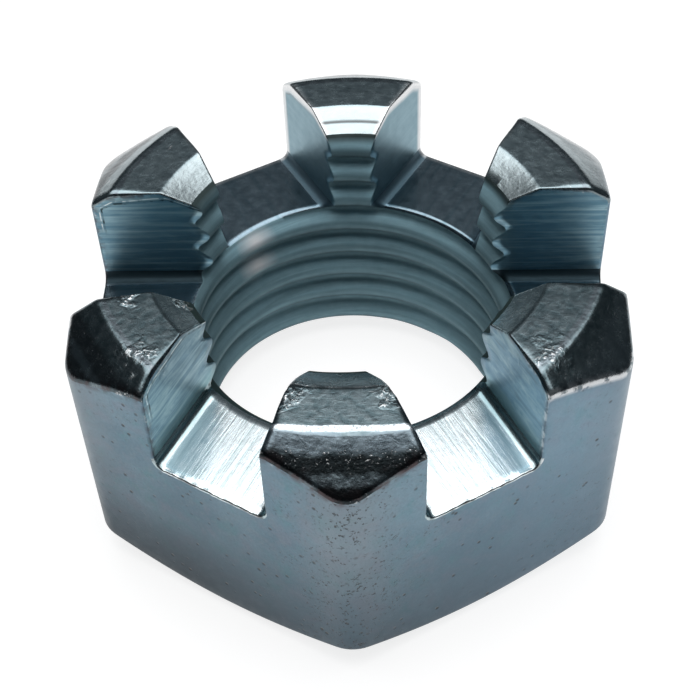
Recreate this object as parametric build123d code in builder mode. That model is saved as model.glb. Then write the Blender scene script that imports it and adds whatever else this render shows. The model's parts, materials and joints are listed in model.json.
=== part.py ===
"""Castle nut of the slotted hexagon kind, 1/2 inch fine thread, in millimetres.

The blank is a hexagon bar turned to a chamfered section, with a thread-minor bore and a
countersink at each end. Three passes straight across the flats cut the six slots for a
cotter pin, and leave one prong standing on each corner of the hexagon.

The origin is the centre of the bearing face and +Z runs along the thread to the prongs.
Two of the flats face +X and -X, so one pair of slots lies along the X axis.
"""
import os
from math import asin, radians, sin, tan

from build123d import *

# Hexagon blank
across_flats = 19.05
nut_height = 11.11
corner_radius = 1.1

# Turned chamfers: the circle that each leaves on its end face, and its slope to that face
crown_face_diameter = 18.1
crown_chamfer_angle = 33
crown_shoulder_radius = 0.6
bearing_face_diameter = 17.65
bearing_chamfer_angle = 30

# Threaded bore, at the thread's minor diameter, and the countersinks that lead into it
bore_diameter = 11.51
countersink_diameter = 14.5
countersink_included_angle = 120

# Cotter pin slots
slot_width = 4.5
slot_floor_height = 6.94
slot_root_radius = 0.35
slot_edge_radius = 0.25

# The hexagon's number of flats, and how far a cut runs on past what it cuts
flat_count = 6
overrun = 1.0

bore_radius = bore_diameter / 2
crown_face_radius = crown_face_diameter / 2
bearing_face_radius = bearing_face_diameter / 2
countersink_radius = countersink_diameter / 2
countersink_depth = (countersink_radius - bore_radius) / tan(radians(countersink_included_angle / 2))

slot_depth = nut_height - slot_floor_height

# A prong is narrowest along the bore, and its two rounded edges have to leave a strip of it between them
wall_angle = asin(slot_width / 2 / bore_radius)
prong_inner_width = 2 * bore_radius * sin(radians(180 / flat_count) - wall_angle)
prong_edge_radius = min(slot_edge_radius, prong_inner_width / 3)

# The turned section runs out to here, clear of the hexagon's corners
turning_radius = across_flats / 2 * 1.25
crown_chamfer_drop = (turning_radius - crown_face_radius) * tan(radians(crown_chamfer_angle))
bearing_chamfer_rise = (turning_radius - bearing_face_radius) * tan(radians(bearing_chamfer_angle))

with BuildPart() as castle_nut:
    # Hexagon bar with its long edges rounded
    with BuildSketch() as hexagon:
        RegularPolygon(across_flats / 2, flat_count, major_radius=False, rotation=180 / flat_count)
        fillet(hexagon.vertices(), corner_radius)
    extrude(amount=nut_height)

    # Turned section: bearing face, two chamfers, crown face, countersinks and bore
    with BuildSketch(Plane.XZ) as turned_section:
        with BuildLine():
            Polyline(
                (bore_radius, countersink_depth),
                (countersink_radius, 0),
                (bearing_face_radius, 0),
                (turning_radius, bearing_chamfer_rise),
                (turning_radius, nut_height - crown_chamfer_drop),
                (crown_face_radius, nut_height),
                (countersink_radius, nut_height),
                (bore_radius, nut_height - countersink_depth),
                close=True,
            )
        make_face()
        crown_shoulder = turned_section.vertices().sort_by_distance((crown_face_radius, nut_height))[0]
        fillet(crown_shoulder, crown_shoulder_radius)
    revolve(axis=Axis.Z, mode=Mode.INTERSECT)

    # Slots: each pass runs square across two opposite flats, and has rounded roots
    pass_angles = [step * 360 / flat_count for step in range(flat_count // 2)]
    pass_planes = [Plane.YZ.rotated((0, 0, angle)) for angle in pass_angles]
    with BuildSketch(*pass_planes) as slot_section:
        with Locations((0, slot_floor_height)):
            Rectangle(slot_width, slot_depth + overrun, align=(Align.CENTER, Align.MIN))
        fillet(slot_section.vertices().group_by(Axis.Y)[0], slot_root_radius)
    extrude(amount=across_flats, both=True, mode=Mode.SUBTRACT)

    # The edges that the slots leave are rounded, all but those along the threaded bore
    bore_wall = castle_nut.faces().filter_by(GeomType.CYLINDER).sort_by(SortBy.RADIUS)[-1]
    slot_edges = castle_nut.edges(Select.NEW) - bore_wall.edges()
    fillet(slot_edges, prong_edge_radius)

castle_nut.part.label = "castle_nut"

os.makedirs("parts", exist_ok=True)
export_step(castle_nut.part, "parts/castle_nut.step")
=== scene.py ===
"""Castle nut, 1/2 inch fine thread: the slotted nut's finished surface, its plating and a plain studio.

The nut is one closed skin. Straight lines seen from above run from the bore to the rounded hexagon,
and every surface is a grid over those lines, so that neighbouring surfaces share their border points.
Lengths are in millimetres until the mesh is made. The room looks white to the camera and dim to the metal.
"""
import json

import bmesh
import bpy
import numpy as np
from mathutils import Matrix, Vector


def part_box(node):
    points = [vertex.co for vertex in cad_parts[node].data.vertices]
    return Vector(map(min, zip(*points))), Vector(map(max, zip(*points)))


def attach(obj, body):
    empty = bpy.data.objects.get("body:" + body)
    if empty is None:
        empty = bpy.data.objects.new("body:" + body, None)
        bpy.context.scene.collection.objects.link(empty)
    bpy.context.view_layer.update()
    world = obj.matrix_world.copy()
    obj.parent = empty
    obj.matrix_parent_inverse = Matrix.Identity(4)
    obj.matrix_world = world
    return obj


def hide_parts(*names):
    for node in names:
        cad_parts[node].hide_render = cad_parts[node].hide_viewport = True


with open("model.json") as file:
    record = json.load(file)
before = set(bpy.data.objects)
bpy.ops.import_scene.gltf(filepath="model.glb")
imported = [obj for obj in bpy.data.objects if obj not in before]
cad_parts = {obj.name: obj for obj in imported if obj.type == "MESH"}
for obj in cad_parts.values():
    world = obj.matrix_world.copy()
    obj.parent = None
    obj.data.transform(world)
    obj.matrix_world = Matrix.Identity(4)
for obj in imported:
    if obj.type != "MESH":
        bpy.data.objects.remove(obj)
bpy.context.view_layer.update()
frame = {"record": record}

MM = 0.001

# Sizes that the frame gives
nut_high = np.array(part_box("castle_nut")[1]) / MM
nut_height = nut_high[2]
half_across_flats = nut_high[0]
mounts = {mount["name"]: mount for mount in frame["record"]["mounts"]}
bore_radius = mounts["thread"]["dims"]["r_mm"]

# Turned shape
corner_radius = 1.1
crown_face_radius = 9.05
crown_angle = np.radians(33)
shoulder_radius = 0.45
bearing_face_radius = 8.825
bearing_slope = np.tan(np.radians(30))
countersink_radius = 7.25
countersink_slope = 1 / np.tan(np.radians(60))
turned_edge_round = 0.05
rim_burr = 0.008
rim_burr_place, rim_burr_width = 0.03, 0.06

# Slots, and how far each has drifted in the making: its low wall sideways at the bore and at the flat,
# its high wall likewise, and its floor's height
slot_width = 4.5
slot_floor = 6.94
slot_drift = np.array([
    [-0.30, -0.25, 0.00, 0.00, -0.26], [-0.25, 0.00, 0.00, 0.00, 0.00], [0.00, 0.00, 0.35, 0.35, -0.04],
    [0.00, 0.00, 0.40, 0.90, -0.10], [-0.20, 0.10, -0.15, 0.10, 0.16], [-0.28, -0.28, -0.05, -0.28, 0.14]])
slot_root = 0.35
slot_edge = 0.09
crown_edge_near, crown_edge_far = 0.06, 0.20
crown_edge_start, crown_edge_growth = 7.4, 1.6
flat_edge_round = 0.16

# Thread, and the height from which it runs out into the upper countersink
pitch = 1.27
thread_depth = 0.45
thread_start = -0.5
runout_start, runout_length = 9.7, 1.4
thread_mouth = bore_radius + thread_depth + 0.05

# Knocks on the prongs: place, size and depth. They push towards the middle of the prong that they hit.
knocks = [
    ((-1.7, -7.5, 11.0), 0.6, 0.08), ((1.4, -7.5, 11.0), 0.6, 0.08), ((-6.9, -5.7, 10.6), 0.9, 0.12),
    ((6.5, -5.8, 10.7), 0.8, 0.10), ((-7.5, -3.0, 11.0), 0.5, 0.05), ((-5.7, -2.9, 10.6), 0.5, 0.06)]
prong_middle_radius, prong_middle_height = 8.4, 9.0

# Burrs: rolled sideways and inwards on the front prong, and torn down at the front slots' outer edges
rolled_left, rolled_right, rolled_inwards = 0.26, 0.17, 0.15
torn_depth = 0.07

# How far the wear of an edge reaches over a wall, a flat and a floor
wall_wear, flat_wear = 0.35, 0.4
lip_wear_start, lip_wear = 0.2, 0.3

# Grid counts
floor_steps = 30
root_steps = 5
edge_steps = 4
prong_steps = 34
side_rows = 14
thread_steps = 10


def turn(across, sideways, angle):
    """Carries slot coordinates to the nut's: out along the slot's direction, sideways square to it."""
    c, s = np.cos(angle), np.sin(angle)
    return across * c - sideways * s, across * s + sideways * c


def soft_step(value, softness):
    """A ramp that is 0 below zero and rises as value above it, with its corner rounded by softness."""
    return softness * np.logaddexp(0, value / softness)


# The shoulder's arc touches the level crown face at its start and the chamfer's cone at its end
shoulder_start = crown_face_radius - shoulder_radius * np.tan(crown_angle / 2)
shoulder_run = shoulder_radius * np.sin(crown_angle)
shoulder_end = shoulder_start + shoulder_run


def crown_height(radius):
    """Height of the turned crown over the bearing face: the countersink's cone rising over a fine burr to
    a level face, then a round shoulder falling away into the chamfer's cone."""
    rise = soft_step(countersink_radius - radius, turned_edge_round) * countersink_slope
    beside_burr = (radius - countersink_radius - rim_burr_place) / rim_burr_width
    rise = rise + rim_burr * (1 - np.exp(-beside_burr ** 2))
    on_arc = np.clip(radius - shoulder_start, 0, shoulder_run)
    arc = shoulder_radius - np.sqrt(shoulder_radius**2 - on_arc**2)
    past = np.clip(radius - shoulder_end, 0, None) * np.tan(crown_angle)
    return nut_height - rise - arc - past


def base_height(radius):
    """Height of the turned underside: countersink cone, level bearing face and chamfer cone."""
    rise = soft_step(countersink_radius - radius, turned_edge_round) * countersink_slope
    return rise + soft_step(radius - bearing_face_radius, turned_edge_round) * bearing_slope


def thread_groove(turns):
    """Depth of the thread's groove against its crest, for a place measured in turns: a wave, with its
    crest a little wider than its root, as tapping and plating round them."""
    wave = 0.5 - 0.5 * np.cos(2 * np.pi * turns)
    return thread_depth * wave ** 1.25


def along_line(start, end, radius):
    """The point at a given radius on each line from start towards end, both (2, n)."""
    way = (end - start) / np.linalg.norm(end - start, axis=0)
    b = (start * way).sum(0)
    reach = -b + np.sqrt(np.maximum(b**2 - (start**2).sum(0) + radius**2, 0))
    return start + way * reach


def bore_grid(start, end, low, high, drop=0.0):
    """The threaded bore between two heights, (rows, lines, 3). Rows climb round the bore with the
    thread and stop at low and high. The radius is the thread's, or a countersink's where that is wider.
    A line isn't quite radial, so its angle is found again a few times at the radius it has reached."""
    turns = np.arange(-2, int(nut_height / pitch) + 3)
    rows = (turns[:, None] + np.arange(thread_steps) / thread_steps).ravel()[:, None] * pitch
    angle = np.arctan2(start[1], start[0]) + 0 * rows
    for _ in range(4):
        climb = np.unwrap(angle, axis=1) / (2 * np.pi) * pitch
        height = np.clip(rows + climb + thread_start, low, high)
        groove = thread_groove((height - thread_start - climb) / pitch)
        runout = np.clip((height - runout_start) / runout_length, 0, 1)
        groove = groove + (thread_depth - groove) * runout
        top_cone = countersink_radius - (nut_height - rim_burr - drop - height) / countersink_slope
        base_cone = countersink_radius - height / countersink_slope
        radius = np.maximum(bore_radius + groove, np.maximum(top_cone, base_cone))
        point = along_line(start[:, None, :], end[:, None, :], radius)
        angle = np.arctan2(point[1], point[0])
    return np.stack([point[0], point[1], height], axis=-1)


def wall_place(k, side, out):
    """Sideways place of a wall of slot k, at a distance out along the slot. Side is -1 for the low wall
    and 1 for the high wall."""
    near, far = slot_drift[k, :2] if side < 0 else slot_drift[k, 2:4]
    share = (out - bore_radius) / (half_across_flats - bore_radius)
    return side * slot_width / 2 + near + (far - near) * share


def from_wall(point, k):
    """How far points of the prong after slot k, seen from above, stand from the nearer slot wall."""
    out, sideways = turn(point[0], point[1], -angles[k])
    next_out, next_sideways = turn(point[0], point[1], -angles[k] - np.pi / 3)
    here = sideways - wall_place(k, 1, out)
    there = wall_place((k + 1) % 6, -1, next_out) - next_sideways
    return np.clip(np.minimum(here, there), 0, None)


def edge_drop(point, k):
    """How far the crown falls beside a slot's wall: a quarter round, whose size grows from nearly sharp
    at the bore to a soft edge at the chamfer."""
    share = np.clip((np.hypot(point[0], point[1]) - crown_edge_start) / crown_edge_growth, 0, 1)
    size = crown_edge_near + (crown_edge_far - crown_edge_near) * share * share * (3 - 2 * share)
    short = np.clip(size - from_wall(point, k), 0, None)
    return size - np.sqrt(size**2 - short**2)


def rounded_end(before, corner, after, steps=4):
    """Points that ease round a corner from before to after, a quadratic curve pulled by the corner."""
    s = np.linspace(0, 1, steps + 1)[1:, None, None]
    return (1 - s) ** 2 * before + 2 * s * (1 - s) * corner + s**2 * after


def turned_face(start, end, radii, cone_steps, height_at):
    """A turned end face along lines, (rows, lines, 3): rows at the given radii, then evenly out over the
    chamfer's cone to the hexagon. Also the corner where it meets the flat."""
    way = (end - start) / np.linalg.norm(end - start, axis=0)
    near = end - way * flat_edge_round
    shares = np.linspace(0, 1, cone_steps + 1)[1:, None]
    cone = radii[-1] + (np.hypot(*near) - radii[-1]) * shares
    radius = np.concatenate([radii[:, None] + 0 * near[0], cone])
    flat = along_line(start[:, None, :], end[:, None, :], radius)
    rows = np.stack([flat[0], flat[1], height_at(radius, flat)], axis=-1)
    return rows, np.stack([end[0], end[1], height_at(np.hypot(*end), end)], axis=-1)


def crown_lines(start, end, k):
    """The turned crown of the prong after slot k, along lines from the countersink's mouth in the bore to
    the flats, (rows, lines, 3), rounded down beside the slots' walls and eased over into the flat. Its
    rows crowd together at the countersink's rim and over the shoulder."""
    radii = np.concatenate([
        np.linspace(thread_mouth, countersink_radius - 0.12, 4),
        countersink_radius + np.array([-0.05, 0.0, 0.04, 0.08, 0.13, 0.19, 0.26]),
        np.linspace(countersink_radius + 0.45, shoulder_start, 7),
        np.linspace(shoulder_start, shoulder_end, 6)[1:]])
    rows, corner = turned_face(
        start, end, radii, 5, lambda radius, point: crown_height(radius) - edge_drop(point, k))
    return np.concatenate([rows, rounded_end(rows[-1], corner, corner - [0, 0, flat_edge_round])])


def base_lines(start, end):
    """The turned underside along lines from the lower countersink's mouth to the flats."""
    radii = np.concatenate([
        np.linspace(thread_mouth, countersink_radius - 0.12, 4),
        countersink_radius + np.array([-0.04, 0.04, 0.12]),
        np.linspace(countersink_radius + 0.4, bearing_face_radius - 0.15, 4),
        bearing_face_radius + np.array([-0.05, 0.05, 0.15])])
    rows, corner = turned_face(start, end, radii, 3, lambda radius, point: base_height(radius))
    return np.concatenate([rows, rounded_end(rows[-1], corner, corner + [0, 0, flat_edge_round])])


# The hexagon's outline: half the straight part of a flat, and a corner's arc
half_straight = (half_across_flats - corner_radius) * np.tan(np.pi / 6)
corner_arc = corner_radius * np.pi / 3


def hexagon_point(distance, flat_angle):
    """A point on the rounded hexagon, a distance along its outline from the middle of the flat that
    faces flat_angle: straight, then round the corner, then along the next flat."""
    bend = np.clip((distance - half_straight) / corner_radius, 0, np.pi / 3)
    past = np.clip(distance - half_straight - corner_arc, 0, None)
    across = half_across_flats - corner_radius * (1 - np.cos(bend)) - past * np.sin(np.pi / 3)
    sideways = np.minimum(distance, half_straight) + corner_radius * np.sin(bend) + past * np.cos(np.pi / 3)
    return np.array(turn(across, sideways, flat_angle))


def four_sided(low, high, inner, outer, rows, share):
    """A patch filled in from its four border curves: each point blends the borders straight across,
    by its row's share of the height and its column's share of the width."""
    f, g = rows[..., None], share[None, :, None]
    across = (1 - f) * low[None] + f * high[None]
    up = (1 - g) * inner[:, None] + g * outer[:, None]
    corners = (1 - f) * ((1 - g) * low[0] + g * low[-1]) + f * ((1 - g) * high[0] + g * high[-1])
    return across + up - corners


# The grids of the skin, and the finishes that the plating tells apart. Flats and underside have none.
patches = []
finishes = ["crown", "bore", "wall", "floor"]

angles = np.arange(6) * np.pi / 3
root_tops = slot_floor + slot_drift[:, 4] + slot_root
crown_mouth = crown_height(np.array(thread_mouth))
base_mouth = base_height(np.array(thread_mouth))

# Rounded slot edge: how far it has opened sideways, and how far it stands back from the other surface
edge_turn = np.linspace(0, np.pi / 2, edge_steps + 1)
opened = slot_edge * (1 - np.cos(edge_turn))
back = slot_edge * (1 - np.sin(edge_turn))


def lay(grid, finish, along, edge=0.0):
    """Keeps one grid of points with the finish it shows, its tool marks' coordinates, and how much it is
    an edge. The coordinates are a place along the marks, one across them, and a number of their own."""
    patches.append((grid, finish, np.broadcast_to(edge, grid.shape[:2]), along))


def angle_round(grid):
    """Angle round the nut, which goes on growing past half a turn."""
    return np.unwrap(np.arctan2(grid[..., 1], grid[..., 0]), axis=1)


def turned_marks(grid, across):
    """Coordinates of tool marks that run round the nut."""
    radius = np.hypot(grid[..., 0], grid[..., 1])
    return np.stack([angle_round(grid) * radius, across, 0 * radius], axis=-1)


def lay_bore(grid):
    """Keeps a grid of the bore. Its edge number tells the thread's upper flanks, 1, from its lower, -1."""
    turns = (grid[..., 2] - thread_start) / pitch - angle_round(grid) / (2 * np.pi)
    across = thread_mouth + grid[..., 2] - crown_mouth
    lay(grid, "bore", turned_marks(grid, across), np.sin(2 * np.pi * turns))


def slot_section(k):
    """Root, floor and root of slot k: each line's share of the way from wall to wall, its inset from the
    nearer wall, its height and its outward direction, sideways and up."""
    root_turn = np.linspace(0, np.pi / 2, root_steps + 1)
    sin_root, cos_root = np.sin(root_turn), np.cos(root_turn)
    level = np.ones(floor_steps - 1)
    share = np.linspace(0, 1, floor_steps + 1)[1:-1]
    inset = slot_root * np.concatenate([1 - sin_root[::-1], 1 - 2 * share, sin_root - 1])
    share = np.concatenate([0 * sin_root, share, 1 + 0 * sin_root])
    rise = np.concatenate([1 - cos_root[::-1], 0 * level, 1 - cos_root])
    height = slot_floor + slot_drift[k, 4] + slot_root * rise
    out_sideways = np.concatenate([-sin_root[::-1], 0 * level, sin_root])
    out_up = -np.concatenate([cos_root[::-1], level, cos_root])
    return share, inset, height, out_sideways, out_up


def across_slot(k, share, inset, out):
    """Sideways place, at a distance out along slot k, of lines that run from wall to wall by share."""
    low, high = wall_place(k, -1, out), wall_place(k, 1, out)
    return low + (high - low) * share + inset


def line_of(place, back_from_flat, k):
    """Lines along slot k from the bore to the flat. Place gives their sideways place at a distance out,
    which is found again a few times where the line meets the bore."""
    out = bore_radius
    for _ in range(5):
        sideways = place(out)
        out = np.sqrt(bore_radius**2 - sideways**2)
    end_out = half_across_flats - back_from_flat + 0 * out
    start = np.array(turn(out, place(out), angles[k]))
    return start, np.array(turn(end_out, place(half_across_flats - slot_edge), angles[k]))


def slot_lines(k):
    """The lines of slot k's roots and floor: starts in the bore, ends at the flat, heights, and the
    outline and heights that their rounded lip reaches on the flat."""
    share, inset, height, out_sideways, out_up = slot_section(k)
    start, end = line_of(lambda out: across_slot(k, share, inset, out), slot_edge, k)
    lip = across_slot(k, share, inset, half_across_flats - slot_edge) + slot_edge * out_sideways
    outline = np.array(turn(half_across_flats + 0 * share, lip, angles[k]))
    return start, end, height, outline, height + slot_edge * out_up


def prong_lines(k):
    """The lines of the prong after slot k, likewise: a rounded edge, the body round the hexagon's corner,
    and a rounded edge. Their heights are those of the slots' roots beside them."""
    after = (k + 1) % 6
    near_start, near_end = line_of(lambda out: wall_place(k, 1, out) + opened, back, k)
    far_start, far_end = line_of(lambda out: wall_place(after, -1, out) - opened[::-1], back[::-1], after)
    from_angle = np.arctan2(near_start[1, -1], near_start[0, -1])
    to_angle = from_angle + np.mod(np.arctan2(far_start[1, 0], far_start[0, 0]) - from_angle, 2 * np.pi)
    share = np.linspace(0, 1, prong_steps + 1)
    swing = from_angle + (to_angle - from_angle) * share
    inner = bore_radius * np.array([np.cos(swing), np.sin(swing)])
    first = wall_place(k, 1, half_across_flats - slot_edge) + slot_edge
    last = 2 * half_straight + corner_arc + wall_place(after, -1, half_across_flats - slot_edge) - slot_edge
    outer = hexagon_point(first + (last - first) * share, angles[k])
    start = np.concatenate([near_start, inner[:, 1:-1], far_start], axis=1)
    end = np.concatenate([near_end, outer[:, 1:-1], far_end], axis=1)
    outline = np.concatenate([
        np.repeat(outer[:, :1], edge_steps, 1), outer, np.repeat(outer[:, -1:], edge_steps, 1)], axis=1)
    foot = np.concatenate([
        np.full(edge_steps, root_tops[k]), root_tops[k] + (root_tops[after] - root_tops[k]) * share,
        np.full(edge_steps, root_tops[after])])
    return start, end, foot, outline, foot


def slot_wall(column, k, crown, bore, sides, foot, climb):
    """Lays one wall of slot k, filled in between the slot's root, the crown, the bore and the flat, which
    all have it as their given column. Returns how far out along the wall its columns lie, as shares."""
    top, inside, outside = crown[:, column], bore[:, column], sides[:, column]
    share = np.linalg.norm(top[:, :2] - top[0, :2], axis=1)
    share = share / share[-1]
    foot_line = inside[0] + (outside[0] - inside[0]) * share[:, None]
    wall = four_sided(foot_line, top, inside, outside, climb[:, column][:, None], share)
    out, _ = turn(wall[..., 0], wall[..., 1], -angles[k])
    up = (wall[..., 2] - foot[column] + slot_width / 2) * (1 if column == 0 else -1)
    near_top = np.clip(1 - (top[None, :, 2] - wall[..., 2]) / wall_wear, 0, 1)
    near_out = np.clip(1 - (half_across_flats - slot_edge - out) / wall_wear, 0, 1)
    lay(wall, "wall", np.stack([out, up, k * 10.0 + 0 * out], axis=-1), np.maximum(near_top, near_out))
    return share


def prong_surfaces(k, start, end, foot):
    """Lays the crown of the prong after slot k, the bore behind it, its flats and its two slot walls.
    Returns how far out the columns of its first and last wall lie."""
    drop = edge_drop(along_line(start, end, thread_mouth), k)
    crown = crown_lines(start, end, k)
    beside_wall = np.clip(1 - np.arange(len(drop)) / (edge_steps + 2), 0, 1)
    beside_wall = np.maximum(beside_wall, beside_wall[::-1])
    beside_flat = np.clip((np.arange(len(crown)) - (len(crown) - 7)) / 3, 0, 1)
    crown_marks = turned_marks(crown, np.hypot(crown[..., 0], crown[..., 1]))
    lay(crown, "crown", crown_marks, np.maximum(beside_wall, beside_flat[:, None]))
    bore = bore_grid(start, end, foot, crown_mouth - drop, drop)
    lay_bore(bore)

    climb = (bore[..., 2] - foot) / (crown_mouth - drop - foot)
    top = crown[-1, :, 2]
    tall = foot + climb * (top - foot)
    sides = np.stack([end[0] + 0 * tall, end[1] + 0 * tall, tall], axis=-1)
    near_crown = np.clip(1 - (top - tall) / flat_wear, 0, 1)
    lay(sides, "flat", turned_marks(sides, tall), np.maximum(beside_wall, near_crown))
    return (slot_wall(0, k, crown, bore, sides, foot, climb),
            slot_wall(-1, (k + 1) % 6, crown, bore, sides, foot, climb))


def slot_bottom(k, low_share, high_share):
    """Lays slot k's roots and floor, from the rim of the bore below to the rounded lip over the flat. Its
    rows lie as far out as the columns of the low and the high wall, blended from one to the other."""
    share, inset, height, out_sideways, out_up = slot_section(k)
    start, end = line_of(lambda out: across_slot(k, share, inset, out), slot_edge, k)
    brim = bore_grid(start, end, base_mouth, height)[-1]
    inner, _ = turn(brim[:, 0], brim[:, 1], -angles[k])
    blend = np.linspace(0, 1, len(height))
    out = inner + (half_across_flats - slot_edge - inner) * (
        low_share[:, None] * (1 - blend) + high_share[:, None] * blend)
    sideways = across_slot(k, share, inset, out)
    tall = np.concatenate([height + 0 * out, height + opened[1:, None] * out_up])
    out = np.concatenate([out, half_across_flats - back[1:, None] + 0 * height])
    sideways = np.concatenate([sideways, sideways[-1] + opened[1:, None] * out_sideways])
    grid = np.stack([*turn(out, sideways, angles[k]), tall], axis=-1)
    low, high = wall_place(k, -1, out), wall_place(k, 1, out)
    across = (2 * sideways - low - high) / (high - low) * slot_width / 2
    near_flat = np.clip((out - half_across_flats + slot_edge + lip_wear_start) / lip_wear, 0, 1)
    lay(grid, "floor", np.stack([out, across, k * 10.0 + 0 * out], axis=-1), near_flat)


def under_the_slots(rings):
    """Lays the bore under the slots, the underside and the flats, which go round the whole nut. The last
    line is the first again, so that each closes on itself."""
    start, end, top, outline, out_top = (np.concatenate(parts, axis=-1) for parts in zip(*rings))
    start, end, outline = (np.concatenate([line, line[:, :1]], axis=1) for line in (start, end, outline))
    top, out_top = np.append(top, top[0]), np.append(out_top, out_top[0])
    bore = bore_grid(start, end, base_mouth, top)
    lay_bore(bore)
    underside = base_lines(bore[0, :, :2].T, outline)
    lay(underside, "underside", turned_marks(underside, np.hypot(underside[..., 0], underside[..., 1])))
    # The last row but one lies close under the top, so that the slots' lips bend only a thin strip
    rise = np.append(np.linspace(0, 0.995, side_rows), 1)[:, None]
    low = underside[-1, :, 2]
    tall = low + (out_top - low) * rise
    sides = np.stack([outline[0] + 0 * tall, outline[1] + 0 * tall, tall], axis=-1)
    lay(sides, "flat", turned_marks(sides, tall))


def waves(x, y, z):
    """Uneven waves between 0 and 1, a fraction of a millimetre long."""
    return 0.5 + 0.5 * np.sin(11 * x + 3 * np.sin(7 * y)) * np.sin(9 * y + 2 * np.sin(13 * z) + 4 * x)


def knocked(points):
    """How far each point is moved by the knocks: ragged bowls that push the prongs' corners inwards,
    towards a point in the middle of the prong."""
    moved = np.zeros_like(points)
    for place, size, depth in knocks:
        bowl = np.clip(1 - np.linalg.norm(points - place, axis=1) / size, 0, 1) ** 1.5
        middle_angle = np.radians(60 * np.floor(np.degrees(np.arctan2(place[1], place[0])) / 60) + 30)
        middle = np.array(turn(prong_middle_radius, 0, middle_angle) + (prong_middle_height,))
        way = middle - points
        way = way / np.linalg.norm(way, axis=1)[:, None]
        moved += way * (depth * bowl * waves(*points.T))[:, None]
    return moved


def rolled(points):
    """How far each point is moved by the burr of the front prong: its inner corners are rolled outwards
    over the slots, more the higher and the nearer to the bore they are, and in over the bore."""
    x, y, z = points.T
    radius = np.hypot(x, y)
    on_front_prong = (y < -5) * (abs(x) < 3)
    amount = np.clip((8.9 - radius) / 1.2, 0, 1) * np.clip((z - 8.8) / 1.6, 0, 1) * on_front_prong
    sideways = amount * np.where(x < 0, rolled_left, rolled_right) * np.clip(x / 1.2, -1, 1)
    inwards = rolled_inwards * amount * np.clip((7.4 - radius) / 0.6, 0, 1)
    return np.stack([sideways, inwards, 0 * x], axis=-1)


def torn(points):
    """How far each point is moved where the outer edges of the front slots' floors are torn down, by
    uneven waves along the edge."""
    x, y, z = points.T
    down = 0 * z
    for k in np.flatnonzero(angles > np.pi):
        out, sideways = turn(x, y, -angles[k])
        from_walls = np.minimum(sideways - wall_place(k, -1, out), wall_place(k, 1, out) - sideways)
        from_floor = abs(z - slot_floor - slot_drift[k, 4])
        near_flat = np.clip((out - half_across_flats + 0.22) / 0.12, 0, 1)
        near_floor = np.clip((from_walls + 0.2) / 0.3, 0, 1) * np.clip(1 - from_floor / 0.35, 0, 1)
        down += near_flat * near_floor * (0.2 + 0.8 * waves(0.9 * sideways + k, 0.5 * sideways, 0 * z))
    return np.stack([0 * x, 0 * y, -torn_depth * down], axis=-1)


def join(patches):
    """Joins the grids into one list of points and four-sided faces, with each point's finish."""
    points, faces, marks, edges, lays, at = [], [], [], [], [], 0
    for grid, finish, edge, along in patches:
        rows, columns = grid.shape[:2]
        number = at + np.arange(rows * columns).reshape(rows, columns)
        faces.append(np.stack([
            number[:-1, :-1], number[:-1, 1:], number[1:, 1:], number[1:, :-1]], axis=-1).reshape(-1, 4))
        points.append(grid.reshape(-1, 3))
        marks.append(np.repeat([[finish == name for name in finishes]], rows * columns, axis=0))
        edges.append(np.asarray(edge, float).ravel())
        lays.append(along.reshape(-1, 3))
        at += rows * columns
    return [np.concatenate(parts) for parts in (points, faces, marks, edges, lays)]


def nut_mesh():
    """The nut's mesh: the grids joined, worn, and merged along their borders into one closed skin. What
    the plating needs to know is kept by face corner, so that it stays apart where surfaces meet."""
    points, faces, marks, edges, lays = join(patches)
    points = points + knocked(points) + rolled(points) + torn(points)
    mesh = bpy.data.meshes.new("slotted_nut")
    mesh.from_pydata(points * MM, [], faces)
    corners = faces.ravel()
    for name, values in zip(finishes + ["edge"], [*marks.T, edges]):
        values = values[corners].astype(np.float32)
        mesh.attributes.new(name, "FLOAT", "CORNER").data.foreach_set("value", values)
    values = lays[corners].astype(np.float32).ravel()
    mesh.attributes.new("lay", "FLOAT_VECTOR", "CORNER").data.foreach_set("vector", values)

    build = bmesh.new()
    build.from_mesh(mesh)
    bmesh.ops.remove_doubles(build, verts=build.verts, dist=0.0003 * MM)
    bmesh.ops.dissolve_degenerate(build, edges=build.edges, dist=0.0001 * MM)
    bmesh.ops.recalc_face_normals(build, faces=build.faces)
    build.to_mesh(mesh)
    build.free()
    mesh.shade_smooth()
    return mesh


rings = []
wall_shares = []
for k in range(6):
    start, end, foot, outline, out_top = prong_lines(k)
    rings += [slot_lines(k), (start, end, foot, outline, out_top)]
    wall_shares.append(prong_surfaces(k, start, end, foot))
for k in range(6):
    slot_bottom(k, wall_shares[k - 1][1], wall_shares[k][0])
under_the_slots(rings)

slotted_nut = bpy.data.objects.new("slotted_nut", nut_mesh())
bpy.context.scene.collection.objects.link(slotted_nut)
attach(slotted_nut, "root")
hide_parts("castle_nut")


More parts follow.
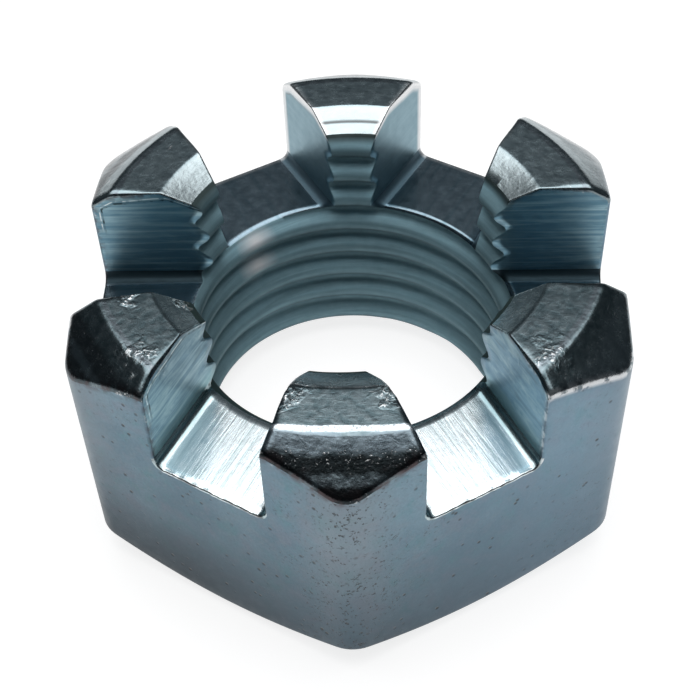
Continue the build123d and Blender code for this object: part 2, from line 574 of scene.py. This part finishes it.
class Nodes:
    """A node tree, of a material or of the world, whose nodes are added and joined step by step."""

    def __init__(self, owner):
        owner.use_nodes = True
        self.nodes, self.links = owner.node_tree.nodes, owner.node_tree.links

    def add(self, kind, settings=None, **inputs):
        """A node with its settings, and values or other nodes' results on its inputs. An input is given
        by its name, with underscores for spaces, or by its number after at."""
        node = self.nodes.new("ShaderNode" + kind)
        for name, value in (settings or {}).items():
            setattr(node, name, value)
        for name, value in inputs.items():
            name = name.replace("_", " ")
            socket = node.inputs[int(name[2:])] if name.startswith("at") else node.inputs[name]
            if isinstance(value, bpy.types.NodeSocket):
                self.links.new(value, socket)
            else:
                socket.default_value = value
        return node

    def math(self, how, a, b=0.0, c=0.0):
        """The result of one sum on up to three values."""
        return self.add("Math", {"operation": how}, at0=a, at1=b, at2=c).outputs[0]

    def chain(self, how, values):
        """Joins values one after the other by the same sum."""
        result = values[0]
        for value in values[1:]:
            result = self.math(how, result, value)
        return result

    def times(self, *values):
        return self.chain("MULTIPLY", values)

    def plus(self, *values):
        return self.chain("ADD", values)

    def highest(self, *values):
        return self.chain("MAXIMUM", values)

    def less(self, value, taken):
        return self.math("SUBTRACT", value, taken)

    def ramp(self, value, start, end, low=0.0, high=1.0):
        """Goes from low to high as value goes from start to end, and stays level outside them."""
        return self.add("MapRange", None, Value=value, From_Min=start, From_Max=end,
                        To_Min=low, To_Max=high).outputs[0]

    def band(self, value, start, full, fade, end):
        """Is 1 while value is between full and fade, and falls to 0 at start and end."""
        return self.times(self.ramp(value, start, full), self.ramp(value, end, fade))

    def blend(self, share, first, second):
        """A colour share of the way from first to second."""
        node = self.add("Mix", {"data_type": "RGBA"}, at0=share, at6=first, at7=second)
        return node.outputs[2]

    def noise(self, place, scale, detail=3.0, roughness=0.5, distortion=0.0):
        """Uneven clouds between 0 and 1, finer as scale grows and rougher with detail."""
        return self.add("TexNoise", None, Vector=place, Scale=scale, Detail=detail,
                        Roughness=roughness, Distortion=distortion).outputs[0]

    def wobbled(self, value, scale, detail, amount):
        """A value moved up and down by uneven noise, by up to half of amount."""
        return self.math("MULTIPLY_ADD", self.noise(self.place, scale, detail), amount,
                         self.less(value, amount / 2))

    def stretched(self, place, x, y, z):
        """A place multiplied along each axis, which draws a pattern out where the number is small."""
        return self.add("VectorMath", {"operation": "MULTIPLY"}, at0=place, at1=(x, y, z)).outputs[0]

    def away_from(self, where):
        """Distance from a place on the nut."""
        return self.add("VectorMath", {"operation": "DISTANCE"}, at0=self.place, at1=where).outputs["Value"]

    def mark(self, name, output="Fac"):
        """A mark that the mesh carries by name."""
        return self.add("Attribute", {"attribute_name": name}).outputs[output]


def tinted(level, red=1.0, blue=1.0):
    """A colour whose green is at level, with red and blue as shares of it. On its own, a plain grey."""
    return (level * red, level, level * blue, 1.0)


def locate(f):
    """Gives the plating its places on the nut, in millimetres, and the marks that its mesh carries."""
    at = f.add("TexCoord").outputs["Object"]
    f.place = f.add("VectorMath", {"operation": "SCALE"}, at0=at, Scale=1 / MM).outputs[0]
    f.sideways, f.backward, f.height = f.add("SeparateXYZ", None, Vector=f.place).outputs
    f.radius = f.math("SQRT", f.plus(f.times(f.sideways, f.sideways), f.times(f.backward, f.backward)))
    f.lay = f.mark("lay", "Vector")
    f.crown, f.bore, f.wall, f.floor, f.edge = (f.mark(name) for name in finishes + ["edge"])
    f.front = f.ramp(f.backward, -7.0, -8.2)


def patterns(f):
    """Gives the plating the patterns that its colour, roughness and relief share: clouds and dents in
    place, and cutter and turning marks along the lay."""
    f.broad = f.noise(f.place, 0.33, 3.0, 0.55)
    f.mottle = f.noise(f.place, 2.6, 4.0, 0.6)
    f.clouds = f.noise(f.place, 1.1, 4.0, 0.6, 0.4)
    f.grain = f.noise(f.place, 11.0, 3.0, 0.6)
    f.dents = f.noise(f.place, 3.8, 2.0, 0.45, 0.3)
    f.crumple = f.noise(f.place, 5.5, 3.0, 0.6, 1.0)
    f.cutter = f.noise(f.stretched(f.lay, 0.25, 5.0, 1.0), 1.0, 5.0, 0.62, 0.4)
    f.cutter_fine = f.noise(f.stretched(f.lay, 0.5, 24.0, 1.0), 1.0, 3.0, 0.6)
    f.turning = f.noise(f.stretched(f.lay, 1.3, 11.0, 1.0), 1.0, 4.0, 0.65, 0.6)


def pits(f):
    """Pits on the flats: single ones, and freckles crowded along the front corner of the hexagon."""
    cells = f.add("TexVoronoi", None, Vector=f.place, Scale=2.3, Randomness=1.0).outputs["Distance"]
    single = f.times(f.ramp(cells, 0.22, 0.10), f.ramp(f.noise(f.place, 0.8, 2.0), 0.46, 0.60))
    near_ridge = f.ramp(f.math("MULTIPLY_ADD", f.noise(f.place, 0.7, 2.0), 2.6, f.radius), 11.2, 12.0)
    freckles = f.ramp(f.noise(f.place, 7.0, 2.0, 0.7), 0.60, 0.66)
    freckles = f.times(freckles, near_ridge, f.ramp(f.backward, -5.5, -7.5))
    on_flats = f.less(1.0, f.highest(f.crown, f.floor, f.wall, f.bore))
    return f.times(f.highest(single, freckles), on_flats)


def flats_colour(f):
    """Flats, clouded in teal and lilac, with a painted highlight along the hexagon's corners and painted
    shade towards the base, most of all at the left, which stands in for the shaded floor that the flats
    reflect."""
    colour = f.blend(f.ramp(f.broad, 0.35, 0.65), tinted(0.20, 0.60, 1.28), tinted(0.27, 0.66, 1.22))
    lilac, teal = tinted(0.22, 0.84, 1.26), tinted(0.24, 0.48, 1.16)
    colour = f.blend(f.ramp(f.clouds, 0.52, 0.66, 0.0, 0.6), colour, lilac)
    colour = f.blend(f.ramp(f.clouds, 0.46, 0.34, 0.0, 0.7), colour, teal)
    colour = f.blend(f.times(f.ramp(f.mottle, 0.5, 0.68), 0.35), colour, tinted(0.30, 0.80, 1.12))
    colour = f.blend(f.ramp(f.grain, 0.35, 0.65, 0.25, 0.0), colour, tinted(0.12, 0.60, 1.28))
    # Painted highlight along the hexagon's rounded corners, stronger towards the top.
    ridge_highlight = f.times(f.ramp(f.radius, 10.1, 10.75), f.ramp(f.height, 0.5, 6.0, 0.1, 0.5))
    colour = f.blend(ridge_highlight, colour, tinted(0.24, 0.90, 1.10))
    # Painted shade towards the base, most of all at the left: the reflection of the floor that the nut
    # shades.
    colour = f.blend(f.ramp(f.height, 7.5, 0.8, 0.0, 0.86), colour, tinted(0.045, 0.58, 1.38))
    colour = f.blend(f.ramp(f.sideways, 1.0, 7.0, 0.0, 0.3), colour, tinted(0.30, 0.62, 1.34))
    low_left_shade = f.times(f.ramp(f.height, 4.5, 1.0), f.ramp(f.sideways, -1.0, -6.0), 0.75)
    colour = f.blend(low_left_shade, colour, tinted(0.035, 0.62, 1.30))
    return f.blend(f.times(f.pitted, 0.8), colour, tinted(0.045, 1.0, 0.95))


def chamfer_colour(f, face):
    """Lays the chamfer's colours over the crown's, mostly painted reflection: on the front prong, from the
    shoulder outwards, a smooth band in painted grey reflection, painted black reflection with painted glints
    and a grey tip, and on the others a nearly black painted reflection, lighter to the right."""
    uneven = f.wobbled(f.radius, 1.6, 3.0, 0.5)
    # Painted dark reflection: the chamfer shows the dark room, nearly black, lighter to the right.
    painted_dark_reflection = f.blend(f.ramp(f.sideways, -6.0, 6.0), tinted(0.09, 0.8, 1.1), tinted(0.25, 0.8, 1.08))
    painted_dark_reflection = f.blend(f.front, painted_dark_reflection, tinted(0.022, 0.8, 1.1))
    # Painted grey reflection on the smooth band below the front shoulder.
    smooth = f.times(f.front, f.band(uneven, 9.0, 9.15, 9.6, 9.75), 0.9)
    face = f.blend(smooth, face, tinted(0.27, 0.80, 1.14))
    face = f.blend(f.ramp(uneven, 9.54, 9.75, 0.0, 0.95), face, painted_dark_reflection)
    # Painted glints in the black band.
    glints = f.ramp(f.noise(f.place, 15.0, 2.0, 0.6), 0.645, 0.70)
    glints = f.times(glints, f.band(uneven, 9.40, 9.6, 9.85, 10.1))
    face = f.blend(glints, face, tinted(0.7))
    tip = f.times(f.band(uneven, 10.08, 10.2, 10.38, 10.5), 0.8)
    return f.blend(tip, face, tinted(0.22, 0.8, 1.1))


def crown_colour(f):
    """Turned crown: grey with turning marks, brighter at the back by painted highlight, with its chamfer, a
    painted highlight along the front prong's shoulder, a countersink paled by painted highlight, at the
    front a painted highlight line round its rim, and a painted dark line of shade at the back prong's first
    thread turn."""
    face = f.blend(f.ramp(f.dents, 0.35, 0.65), tinted(0.15, 0.70, 1.10), tinted(0.22, 0.80, 1.07))
    # Painted highlight: the crown grows brighter towards the back.
    face = f.blend(f.ramp(f.backward, -2.0, 5.0, 0.0, 0.7), face, tinted(0.42, 0.82, 1.06))
    face = f.blend(f.ramp(f.turning, 0.5, 0.7, 0.0, 0.4), face, tinted(0.30, 0.80, 1.08))
    scored = f.times(f.ramp(f.turning, 0.69, 0.74), f.ramp(f.radius, 7.3, 7.5))
    face = f.blend(scored, face, tinted(0.85))
    face = chamfer_colour(f, face)

    # Painted highlight along the shoulder, bright on the front prong and dim on the others; its band bends
    # inwards beside the front prong's middle, as the shoulder's reflection does.
    ring = f.wobbled(f.radius, 2.2, 3.0, 0.14)
    ring = f.less(ring, f.times(f.sideways, f.sideways, f.front, 0.03))
    shoulder = f.times(f.band(ring, 8.75, 8.80, 8.88, 9.04), f.ramp(f.grain, 0.36, 0.48, 0.30, 1.0))
    shoulder_reflection = f.blend(f.front, tinted(0.22, 0.85, 1.1), tinted(0.95, 0.94, 1.05))
    face = f.blend(shoulder, face, shoulder_reflection)

    # The countersink paled as a painted highlight, paler still on the side prongs at the front.
    beside = f.times(f.ramp(f.math("ABSOLUTE", f.sideways), 3.0, 4.0), f.ramp(f.backward, 0.0, -1.0))
    cone = f.blend(beside, tinted(0.46, 0.86, 1.04), tinted(0.66, 0.8, 1.05))
    face = f.blend(f.ramp(f.radius, 7.30, 7.15), face, cone)
    # Painted highlight: a bright line round the front prong's countersink rim.
    rim = f.times(f.band(f.radius, 7.12, 7.15, 7.20, 7.23), f.ramp(f.backward, -6.4, -6.8))
    face = f.blend(f.times(rim, f.ramp(f.mottle, 0.40, 0.50, 0.3, 1.0)), face, tinted(0.95))
    # Painted shade: a dark line where the back prong's countersink meets the first thread turn.
    first_turn_shade = f.times(f.band(f.radius, 6.60, 6.66, 6.70, 6.78), f.ramp(f.backward, 5.0, 6.0), 0.85)
    return f.blend(first_turn_shade, face, tinted(0.05))


def floor_colour(f):
    """Slot floors, bright and milled along the slot, with painted shade in the roots and beside them, and a
    dim blue painted reflection at the back."""
    cut = f.blend(f.ramp(f.cutter, 0.30, 0.50), tinted(0.62, 0.78, 1.03), tinted(0.95, 0.92, 1.02))
    # Painted shade in the roots, and beside them towards the bore.
    cut = f.blend(f.times(f.root, 0.75), cut, tinted(0.36, 0.72, 1.06))
    shade_beside_root = f.times(f.ramp(f.across, 1.45, 1.85), f.ramp(f.radius, 9.0, 7.0))
    shade_beside_root = f.times(shade_beside_root, f.ramp(f.sideways, 0.0, 2.0, 0.3, 0.8))
    cut = f.blend(shade_beside_root, cut, tinted(0.28, 0.66, 1.10))
    # Painted dim reflection on the back floors, and painted shade in their roots.
    cut = f.blend(f.ramp(f.backward, -3.5, 0.0, 0.0, 0.85), cut, tinted(0.14, 0.56, 1.32))
    shaded = f.times(f.root, f.band(f.backward, -3.5, -2.0, 3.0, 5.0), 0.85)
    return f.blend(shaded, cut, tinted(0.04, 0.6, 1.2))


def wall_colour(f):
    """Slot walls, blue grey along the cut, bluer at the right and smoother at the back, smeared towards
    the front, with the left walls gouged dark and dragged bright along their tops."""
    side = f.blend(f.ramp(f.cutter, 0.45, 0.75), tinted(0.27, 0.52, 1.30), tinted(0.56, 0.70, 1.10))
    side = f.blend(f.ramp(f.backward, 3.5, 6.0, 0.0, 0.85), side, tinted(0.33, 0.64, 1.16))
    front_right = f.times(f.ramp(f.sideways, 2.0, 4.0), f.ramp(f.backward, 0.0, -3.0, 0.0, 0.5))
    side = f.blend(front_right, side, tinted(0.30, 0.46, 1.45))
    forward = f.ramp(f.backward, 4.0, -2.0)
    smear = f.noise(f.stretched(f.lay, 0.45, 1.5, 1.0), 1.0, 5.0, 0.68, 1.2)
    side = f.blend(f.times(f.ramp(smear, 0.50, 0.64, 0.0, 0.5), forward), side, tinted(0.60, 0.72, 1.04))
    side = f.blend(f.times(f.ramp(smear, 0.46, 0.32, 0.0, 0.6), forward), side, tinted(0.16, 0.50, 1.22))
    low_front = f.times(f.ramp(f.height, 8.3, 7.3, 0.0, 0.6), f.ramp(f.backward, -1.5, -3.5))
    side = f.blend(low_front, side, tinted(0.75, 0.62, 1.02))

    left = f.ramp(f.sideways, 0.0, -4.0)
    gouged = f.times(f.band(f.edge, 0.10, 0.14, 0.30, 0.34), left, f.ramp(f.height, 9.0, 9.4))
    gouged = f.times(gouged, f.ramp(f.mottle, 0.50, 0.42, 0.3, 0.9))
    side = f.blend(gouged, side, tinted(0.05, 0.6, 1.1))
    dragged = f.times(f.band(f.edge, 0.36, 0.42, 0.48, 0.54), left, f.ramp(f.height, 9.2, 9.6))
    dragged = f.times(dragged, f.ramp(f.mottle, 0.42, 0.52))
    return f.blend(dragged, side, tinted(0.85, 0.92, 1.0))


def bore_colour(f):
    """Thread, with painted light on its upper flanks and painted shade on its lower ones, darker at its
    mouth and towards the front, with two painted highlights on the ridges at the back left."""
    # Painted light and shade by flank: the edge number tells upper flanks from lower ones.
    inside = f.blend(f.ramp(f.edge, -0.9, 0.9), tinted(0.15, 0.60, 1.16), tinted(0.62, 0.66, 1.12))
    inside = f.blend(f.ramp(f.cutter, 0.65, 0.35, 0.0, 0.3), inside, tinted(0.12, 0.60, 1.16))
    inside = f.blend(f.ramp(f.height, 10.2, 10.45), inside, tinted(0.10, 0.75, 1.0))
    inside = f.blend(f.ramp(f.backward, 4.5, -1.0, 0.0, 0.8), inside, tinted(0.09, 0.62, 1.06))
    inside = f.blend(f.ramp(f.backward, -1.0, -3.0, 0.0, 0.8), inside, tinted(0.06, 0.60, 0.95))
    # Two painted highlights on the thread's ridges at the back left.
    for highlight_height in (6.4, 5.15):
        near = f.ramp(f.away_from((-3.9, 4.5, highlight_height)), 1.0, 0.2, 0.0, 0.8)
        thread_highlight = f.times(near, f.ramp(f.edge, -0.2, 0.8))
        inside = f.blend(thread_highlight, inside, (1.0, 0.97, 0.97, 1.0))
    return inside


def edge_colour(f, colour):
    """Lays the edges' colours over the rest: paler at the back by painted highlight, browned in most places,
    and painted highlights in a few, most of all on the right-hand prong."""
    rounded = f.times(f.edge, f.less(1.0, f.bore))
    # Painted highlight: rounded edges paler towards the back.
    pale = f.times(f.ramp(rounded, 0.1, 0.7), f.ramp(f.backward, 4.0, 6.0, 0.0, 0.9))
    colour = f.blend(pale, colour, tinted(0.8))
    browned = f.times(f.ramp(rounded, 0.3, 1.0), f.ramp(f.mottle, 0.56, 0.42))
    browned = f.times(browned, f.ramp(f.backward, 5.0, 2.0, 0.0, 0.75))
    browned = f.times(browned, f.ramp(f.sideways, 5.5, 7.0, 1.0, 0.5))
    colour = f.blend(browned, colour, tinted(0.06, 1.3, 1.05))
    # Painted highlights on a few rounded edges, most on the right-hand prong.
    right = f.times(f.ramp(f.sideways, 5.5, 7.0), f.ramp(f.sideways, 9.4, 8.9, 0.3, 1.0))
    right = f.times(right, f.ramp(f.backward, -4.0, -5.0))
    left = f.times(f.ramp(f.sideways, -5.0, -5.5), f.band(f.backward, -3.9, -3.6, -2.3, -2.0))
    needed = f.ramp(f.highest(right, left), 0.0, 1.0, 0.62, 0.38)
    bright = f.times(f.ramp(f.less(f.mottle, needed), 0.0, 0.08), f.ramp(rounded, 0.6, 1.0, 0.0, 0.7))
    return f.blend(bright, colour, (0.735, 0.7425, 0.75, 1.0))


def knock_marks(f):
    """Where the knocks lie, each with a ragged outline."""
    ragged = f.math("MULTIPLY_ADD", f.noise(f.place, 1.9, 2.0), 1.6, -0.8)
    hits = [f.ramp(f.plus(f.away_from(where), ragged), size, 0.2 * size) for where, size, _ in knocks]
    return f.highest(0.0, *hits)


def roughness(f):
    """Satin flats, smoother crown and floors, and a matt bore and back roots."""
    back_root = f.times(f.floor, f.root, f.ramp(f.backward, -3.5, -1.0, 0.0, 0.35))
    rough = f.less(f.ramp(f.mottle, 0.3, 0.7, 0.34, 0.44), f.times(f.crown, 0.14))
    rough = f.less(rough, f.times(f.floor, 0.17))
    return f.plus(rough, f.times(f.bore, 0.34), back_root)


def relief(f):
    """Relief, in millimetres: a dented crown with turning marks, cutter marks in the slots that fade to
    the back, crumpled knocks, and faint peel and pits on the flats."""
    beaten = f.plus(f.times(f.dents, f.ramp(f.radius, 9.0, 10.2, 0.008, 0.013)), f.times(f.turning, 0.0025),
                    f.times(f.grain, f.ramp(f.radius, 9.4, 10.0, 0.001, 0.007)))
    milled = f.times(f.highest(f.wall, f.floor), f.ramp(f.backward, 6.0, 2.0, 0.25, 1.0))
    cutter_marks = f.plus(f.times(f.cutter, 0.007), f.times(f.cutter_fine, 0.0025))
    return f.plus(
        f.times(f.mottle, 0.003), f.times(f.pitted, -0.012), f.times(f.crown, beaten),
        f.times(f.knocked, f.crumple, 0.05), f.times(milled, cutter_marks), f.times(f.bore, f.cutter, 0.004))


def plating():
    """Zinc plating with a clear blue passivate. The flats are satin and pitted, the turned crown is
    darker and dented with fine turning marks, the chamfer painted nearly black as a dark reflection, and the
    slots show cutter marks."""
    material = bpy.data.materials.new("zinc_plated_steel")
    f = Nodes(material)
    locate(f)
    patterns(f)
    f.pitted = pits(f)
    f.knocked = knock_marks(f)
    f.across = f.math("ABSOLUTE", f.add("SeparateXYZ", None, Vector=f.lay).outputs[1])
    f.root = f.ramp(f.across, 1.9, 2.0)

    colour = f.blend(f.crown, flats_colour(f), crown_colour(f))
    colour = f.blend(f.floor, colour, floor_colour(f))
    colour = f.blend(f.wall, colour, wall_colour(f))
    colour = f.blend(f.bore, colour, bore_colour(f))
    colour = edge_colour(f, colour)
    colour = f.blend(f.times(f.knocked, f.ramp(f.crumple, 0.54, 0.62)), colour, tinted(0.85))
    colour = f.blend(f.times(f.knocked, f.ramp(f.crumple, 0.46, 0.38, 0.0, 0.8)), colour, tinted(0.03))

    bump = f.add("Bump", None, Strength=1.0, Distance=1.0 * MM, Height=relief(f))
    shader = f.nodes["Principled BSDF"]
    shader.inputs["Metallic"].default_value = 1.0
    f.links.new(colour, shader.inputs["Base Color"])
    f.links.new(roughness(f), shader.inputs["Roughness"])
    f.links.new(bump.outputs[0], shader.inputs["Normal"])
    return material


slotted_nut.data.materials.append(plating())


def floor_sheet():
    """A pale floor that looks white to the camera and in the metal, and still takes the nut's shadow."""
    mesh = bpy.data.meshes.new("floor")
    far = 400 * MM
    mesh.from_pydata([(-far, -far, 0), (far, -far, 0), (far, far, 0), (-far, far, 0)], [], [(0, 1, 2, 3)])
    material = bpy.data.materials.new("white_floor")
    f = Nodes(material)
    f.nodes.clear()
    ray = f.add("LightPath").outputs
    seen = f.highest(ray["Is Camera Ray"], f.highest(ray["Is Glossy Ray"], ray["Is Transmission Ray"]))
    glow = f.add("Emission", None, Strength=f.times(seen, 0.82)).outputs[0]
    matt = f.add("BsdfDiffuse", None, Color=tinted(0.35)).outputs[0]
    both = f.add("AddShader", None, at0=glow, at1=matt).outputs[0]
    f.add("OutputMaterial", None, Surface=both)
    mesh.materials.append(material)
    sheet = bpy.data.objects.new("floor", mesh)
    bpy.context.scene.collection.objects.link(sheet)


def soft_lamp(name, place, aim, size, power):
    """A rectangular soft lamp at a place, in millimetres, that faces aim."""
    data = bpy.data.lights.new(name, "AREA")
    data.shape = "RECTANGLE"
    data.size, data.size_y = size[0] * MM, size[1] * MM
    data.energy = power
    lamp = bpy.data.objects.new(name, data)
    lamp.location = Vector(place) * MM
    lamp.rotation_euler = (Vector(aim) - Vector(place)).to_track_quat("-Z", "Y").to_euler()
    bpy.context.scene.collection.objects.link(lamp)


def studio():
    """A dim room that glows towards the lamp and looks white to the camera, and one large soft lamp over
    the nut, a little behind it."""
    world = bpy.data.worlds.new("room")
    bpy.context.scene.world = world
    room = Nodes(world)
    way = room.add("TexCoord").outputs["Generated"]
    to_lamp = room.add("VectorMath", {"operation": "DOT_PRODUCT"}, at0=way, at1=(0.0, 0.30, 0.954))
    glow = room.add("ValToRGB", None, at0=to_lamp.outputs["Value"])
    glow.color_ramp.interpolation = "EASE"
    stops = glow.color_ramp.elements
    stops[0].position, stops[0].color = 0.76, (0.045, 0.055, 0.062, 1)
    stops[1].position, stops[1].color = 0.97, (0.60, 0.64, 0.68, 1)
    stops.new(0.89).color = (0.13, 0.15, 0.165, 1)
    to_camera = room.add("LightPath").outputs["Is Camera Ray"]
    shown = room.blend(to_camera, glow.outputs[0], tinted(1.0))
    room.links.new(shown, room.nodes["Background"].inputs["Color"])
    soft_lamp("top_lamp", (0, 20, 160), (0, 20, 8), (220, 172), 0.27)


def camera():
    """A close view from above the front corner, turned a little and tilted by its roll."""
    turned, raised, roll = np.radians([2.243, 47.415, -2.215])
    distance = 54.50
    target = Vector((-0.117, 0.237, 4.7625))
    back = Vector((np.sin(turned) * np.cos(raised), -np.cos(turned) * np.cos(raised), np.sin(raised)))
    right = Vector((0, 0, 1)).cross(back).normalized()
    up = back.cross(right)
    rolled = right * np.cos(roll) + up * np.sin(roll)
    over = up * np.cos(roll) - right * np.sin(roll)
    data = bpy.data.cameras.new("camera")
    data.lens, data.sensor_width = 72.58, 36
    data.clip_start = 1 * MM
    eye = bpy.data.objects.new("camera", data)
    facing = Matrix((rolled, over, back)).transposed().to_4x4()
    eye.matrix_world = Matrix.Translation((target + back * distance) * MM) @ facing
    bpy.context.scene.collection.objects.link(eye)
    bpy.context.scene.camera = eye


bpy.context.scene.view_settings.view_transform = "Standard"
floor_sheet()
studio()
camera()
